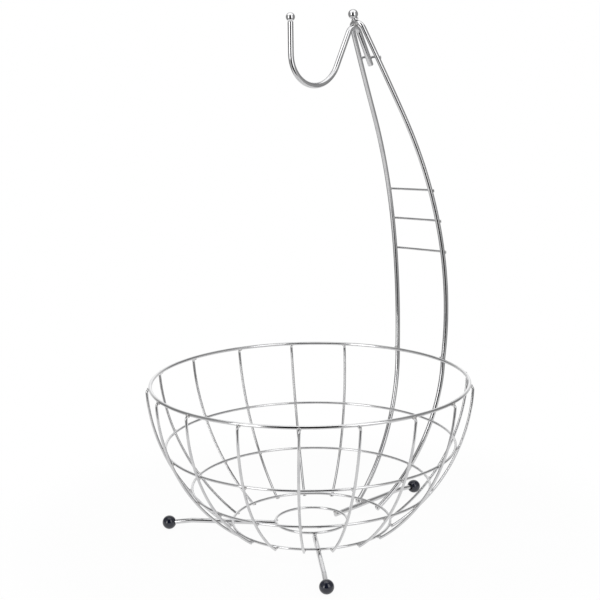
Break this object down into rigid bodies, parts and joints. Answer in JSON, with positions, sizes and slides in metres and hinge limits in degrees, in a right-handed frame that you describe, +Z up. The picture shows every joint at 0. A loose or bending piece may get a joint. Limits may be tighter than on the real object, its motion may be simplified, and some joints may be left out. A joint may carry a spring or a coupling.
{
  "type": "fruit basket",
  "caption": "Chromed wire fruit bowl on ball feet, with a bent rod stand at its back that carries a hook for a bunch of bananas over the bowl.",
  "frame": {"origin": "centre of the bounding box, on the surface that the feet stand on", "axes": "+Z up; +Y to the back, where the stand with the hook rises; +X to the right of someone who faces the bowl from the front"},
  "size_m": [0.2759, 0.2843, 0.4455],
  "materials": {
    "chrome": "polished chrome plate on steel wire and rod",
    "black_plastic": "glossy black moulded plastic"
  },
  "bodies": {
    "root": {"rim_ring": "chrome", "upper_ring": "chrome", "middle_ring": "chrome", "lower_ring": "chrome", "base_ring": "chrome", "basket_wire_01": "chrome", "basket_wire_02": "chrome", "basket_wire_03": "chrome", "basket_wire_04": "chrome", "basket_wire_05": "chrome", "basket_wire_06": "chrome", "basket_wire_07": "chrome", "basket_wire_08": "chrome", "basket_wire_09": "chrome", "basket_wire_10": "chrome", "basket_wire_11": "chrome", "basket_wire_12": "chrome", "basket_wire_13": "chrome", "basket_wire_14": "chrome", "basket_wire_15": "chrome", "hanger_upright": "chrome", "crossbar_upper": "chrome", "crossbar_middle": "chrome", "crossbar_lower": "chrome", "hook_tail_bar": "chrome", "banana_hook": "chrome", "hook_tip_ball": "chrome", "finial_ball": "chrome", "leg_back": "chrome", "leg_left": "chrome", "leg_right": "chrome", "foot_ball_back": "black_plastic", "foot_ball_left": "black_plastic", "foot_ball_right": "black_plastic"}
  },
  "joints": []
}
